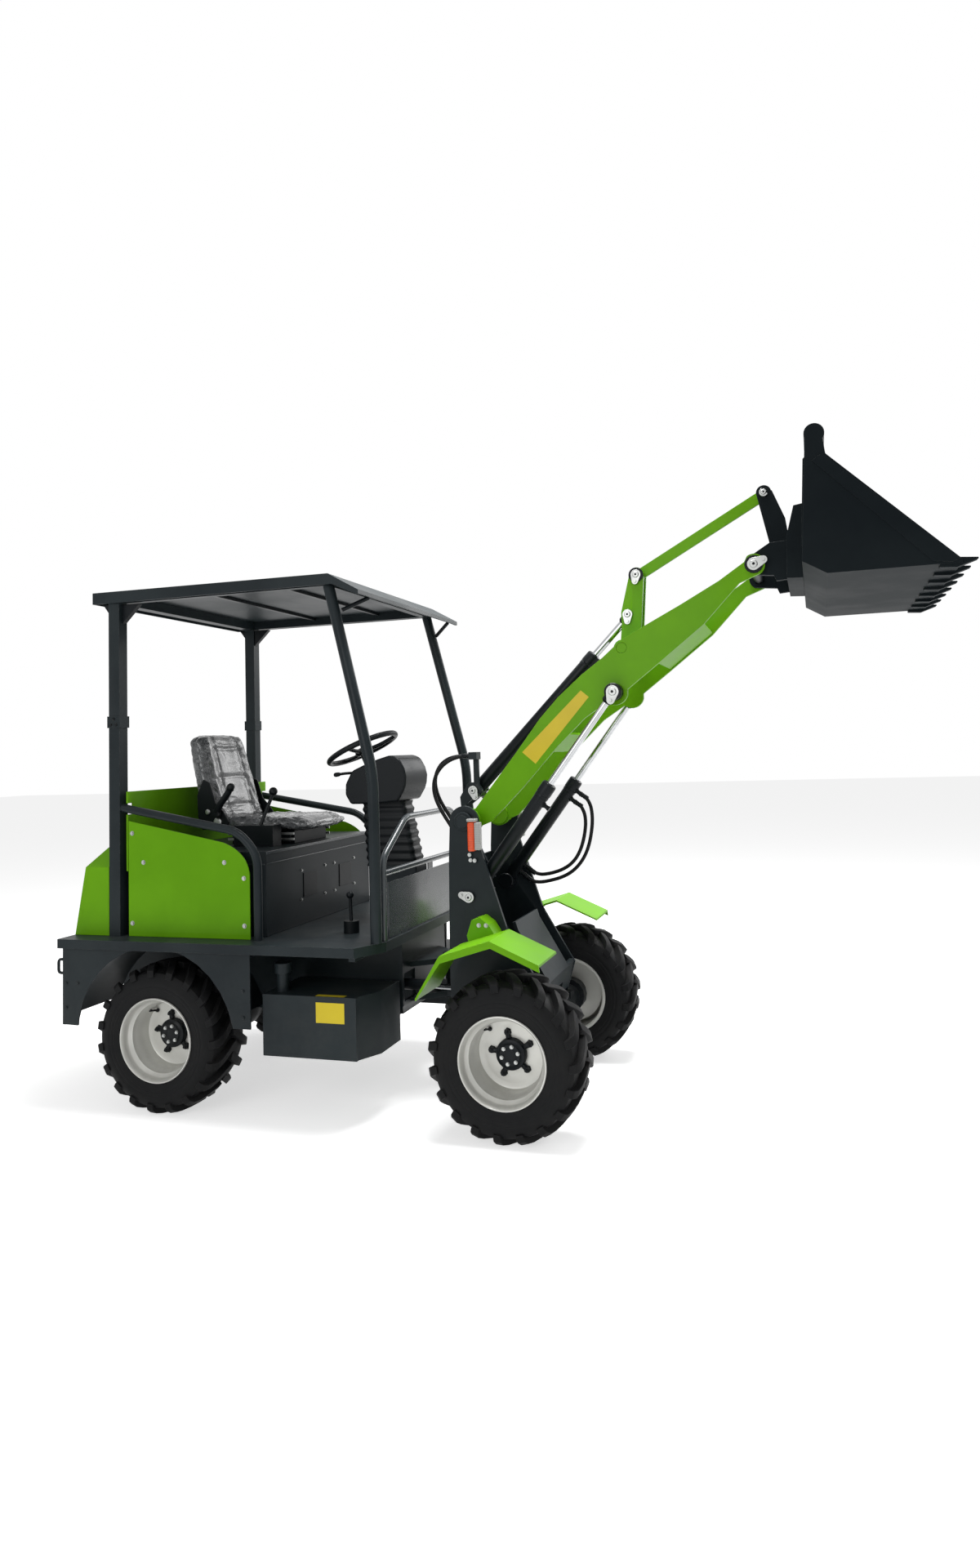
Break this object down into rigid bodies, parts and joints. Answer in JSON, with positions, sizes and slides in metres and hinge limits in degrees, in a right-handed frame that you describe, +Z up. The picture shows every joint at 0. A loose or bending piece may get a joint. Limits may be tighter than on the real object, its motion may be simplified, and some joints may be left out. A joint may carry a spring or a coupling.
{
  "type": "compact wheel loader",
  "caption": "Compact articulated wheel loader with an open canopy, a raised boom and a level bucket.",
  "frame": {"origin": "on the ground under the middle of the machine's overall box", "axes": "+X forward to the bucket, +Y to the driver's left, +Z up"},
  "size_m": [4.121, 1.504, 2.851],
  "materials": {
    "green_paint": "gloss",
    "charcoal_paint": "satin",
    "black": "satin",
    "rubber": "matte",
    "rim_silver": "satin",
    "chrome": "polished",
    "vinyl": "satin",
    "amber": "gloss"
  },
  "bodies": {
    "rear_frame": {"rear_chassis": "charcoal_paint", "deck": "charcoal_paint", "engine_block": "black", "hood": "green_paint", "side_panel_right": "green_paint", "side_panel_left": "green_paint", "rear_bulkhead": "green_paint", "canopy_frame": "charcoal_paint", "roof": "charcoal_paint", "seat_box": "charcoal_paint", "seat_base": "black", "seat_cushion": "vinyl", "seat_backrest": "vinyl", "control_console": "black", "front_guard": "charcoal_paint", "steering_column": "black", "floor_lever": "black", "tank_right": "charcoal_paint", "tank_left": "charcoal_paint", "rear_axle": "black", "pivot_pin": "chrome"},
    "steering_wheel_body": {"steering_wheel": "black"},
    "wheel_rear_right": {"tyre_rear_right": "rubber", "rim_rear_right": "rim_silver"},
    "wheel_rear_left": {"tyre_rear_left": "rubber", "rim_rear_left": "rim_silver"},
    "wheel_front_right": {"tyre_front_right": "rubber", "rim_front_right": "rim_silver"},
    "wheel_front_left": {"tyre_front_left": "rubber", "rim_front_left": "rim_silver"},
    "front_body": {"front_frame": "charcoal_paint", "front_axle": "black", "front_fender_right": "green_paint", "front_fender_left": "green_paint", "turn_lamp_right": "amber", "turn_lamp_left": "amber", "tilt_hose_inner": "rubber", "tilt_hose_outer": "rubber"},
    "steer_barrel_body": {"steer_barrel": "black"},
    "steer_rod_body": {"steer_rod": "chrome"},
    "boom_body": {"boom": "green_paint"},
    "lever_pins": {"lever_pin_right": "chrome", "lever_pin_left": "chrome"},
    "lever_body": {"lever": "green_paint"},
    "link_pin_body": {"link_pin": "chrome"},
    "tilt_link_body": {"tilt_link": "green_paint"},
    "tilt_barrel_body": {"tilt_barrel": "black"},
    "tilt_rod_body": {"tilt_rod": "chrome"},
    "lift_barrel_right_body": {"lift_barrel_right": "black"},
    "lift_barrel_left_body": {"lift_barrel_left": "black", "lift_hose_inner": "rubber", "lift_hose_outer": "rubber"},
    "lift_rod_right_body": {"lift_rod_right": "chrome"},
    "lift_rod_left_body": {"lift_rod_left": "chrome"},
    "bucket_pin_body": {"bucket_pin": "chrome"},
    "bucket_body": {"bucket": "charcoal_paint", "coupler": "charcoal_paint"}
  },
  "joints": [
    {"name": "articulation", "type": "hinge", "parent": "rear_frame", "child": "front_body", "pos_m": [-0.3265, 0, 0.5325], "axis": [0, 0, 1], "range_deg": [-25, 25]},
    {"name": "boom_lift", "type": "hinge", "parent": "front_body", "child": "boom_body", "pos_m": [-0.1315, 0, 1.3], "axis": [0, -1, 0], "range_deg": [-80, 8]},
    {"name": "bucket_tilt", "type": "hinge", "parent": "bucket_pin_body", "child": "bucket_body", "pos_m": [1.2195, 0, 2.401], "axis": [0, -1, 0], "range_deg": [-35, 45]},
    {"name": "steering_wheel_turn", "type": "hinge", "parent": "rear_frame", "child": "steering_wheel_body", "pos_m": [-0.7895, 0, 1.654], "axis": [-0.4078, 0, 0.9131], "continuous": true},
    {"name": "wheel_rear_right_spin", "type": "hinge", "parent": "rear_frame", "child": "wheel_rear_right", "pos_m": [-1.5265, -0.58675, 0.34], "axis": [0, 1, 0], "continuous": true},
    {"name": "wheel_rear_left_spin", "type": "hinge", "parent": "rear_frame", "child": "wheel_rear_left", "pos_m": [-1.5265, 0.58675, 0.34], "axis": [0, 1, 0], "continuous": true},
    {"name": "wheel_front_right_spin", "type": "hinge", "parent": "front_body", "child": "wheel_front_right", "pos_m": [0.1445, -0.58675, 0.34], "axis": [0, 1, 0], "continuous": true},
    {"name": "wheel_front_left_spin", "type": "hinge", "parent": "front_body", "child": "wheel_front_left", "pos_m": [0.1445, 0.58675, 0.34], "axis": [0, 1, 0], "continuous": true},
    {"name": "steer_barrel_swing", "type": "hinge", "parent": "rear_frame", "child": "steer_barrel_body", "pos_m": [-0.7265, -0.17, 0.52], "axis": [0, 0, 1], "range_deg": [-7.2, 7.2]},
    {"name": "steer_rod_slide", "type": "slide", "parent": "steer_barrel_body", "child": "steer_rod_body", "axis": [0.9937, -0.1125, 0], "range_m": [-0.094, 0.094]},
    {"name": "lever_level", "type": "hinge", "parent": "boom_body", "child": "lever_pins", "pos_m": [0.6185, 0, 2.07], "axis": [0, -1, 0], "range_deg": [-6.6, 64.2]},
    {"name": "lever_turn", "type": "hinge", "parent": "lever_pins", "child": "lever_body", "pos_m": [0.6185, 0, 2.07], "axis": [0, -1, 0], "range_deg": [-35.2, 45.2]},
    {"name": "link_level", "type": "hinge", "parent": "lever_body", "child": "link_pin_body", "pos_m": [0.6685, 0, 2.43], "axis": [0, -1, 0], "range_deg": [-64.2, 6.6]},
    {"name": "link_turn", "type": "hinge", "parent": "link_pin_body", "child": "tilt_link_body", "pos_m": [0.6685, 0, 2.43], "axis": [0, -1, 0], "range_deg": [-45.2, 35.2]},
    {"name": "bucket_level", "type": "hinge", "parent": "boom_body", "child": "bucket_pin_body", "pos_m": [1.2195, 0, 2.401], "axis": [0, -1, 0], "range_deg": [-6.6, 64.2]},
    {"name": "tilt_barrel_swing", "type": "hinge", "parent": "front_body", "child": "tilt_barrel_body", "pos_m": [-0.1715, 0, 1.43], "axis": [0, -1, 0], "range_deg": [-76.8, 7.8]},
    {"name": "tilt_rod_slide", "type": "slide", "parent": "tilt_barrel_body", "child": "tilt_rod_body", "axis": [0.6978, 0, 0.7163], "range_m": [-0.11, 0.086]},
    {"name": "lift_barrel_right_swing", "type": "hinge", "parent": "front_body", "child": "lift_barrel_right_body", "pos_m": [-0.1135, -0.267, 0.955], "axis": [0, -1, 0], "range_deg": [-71.6, 7.4]},
    {"name": "lift_barrel_left_swing", "type": "hinge", "parent": "front_body", "child": "lift_barrel_left_body", "pos_m": [-0.1135, 0.267, 0.955], "axis": [0, -1, 0], "range_deg": [-71.6, 7.4]},
    {"name": "lift_rod_right_slide", "type": "slide", "parent": "lift_barrel_right_body", "child": "lift_rod_right_body", "axis": [0.6053, 0, 0.796], "range_m": [-0.42, 0.043]},
    {"name": "lift_rod_left_slide", "type": "slide", "parent": "lift_barrel_left_body", "child": "lift_rod_left_body", "axis": [0.6053, 0, 0.796], "range_m": [-0.42, 0.043]}
  ],
  "couplings": [
    {"joint": "steer_barrel_swing", "follows": "articulation", "ratio": 0.2811},
    {"joint": "steer_rod_slide", "follows": "articulation", "m_per_rad": 0.21128},
    {"joint": "lever_level", "follows": "boom_lift", "ratio": -0.8},
    {"joint": "link_level", "follows": "boom_lift", "ratio": 0.8},
    {"joint": "bucket_level", "follows": "boom_lift", "ratio": -0.8},
    {"joint": "tilt_barrel_swing", "follows": "boom_lift", "ratio": 0.9559},
    {"joint": "lift_barrel_right_swing", "follows": "boom_lift", "ratio": 0.8906},
    {"joint": "lift_barrel_left_swing", "follows": "boom_lift", "ratio": 0.8906},
    {"joint": "lift_rod_right_slide", "follows": "boom_lift", "m_per_rad": 0.29949},
    {"joint": "lift_rod_left_slide", "follows": "boom_lift", "m_per_rad": 0.29949},
    {"joint": "lever_turn", "follows": "bucket_tilt", "ratio": 1},
    {"joint": "link_turn", "follows": "bucket_tilt", "ratio": -1},
    {"joint": "tilt_rod_slide", "follows": "bucket_tilt", "m_per_rad": -0.1375}
  ]
}
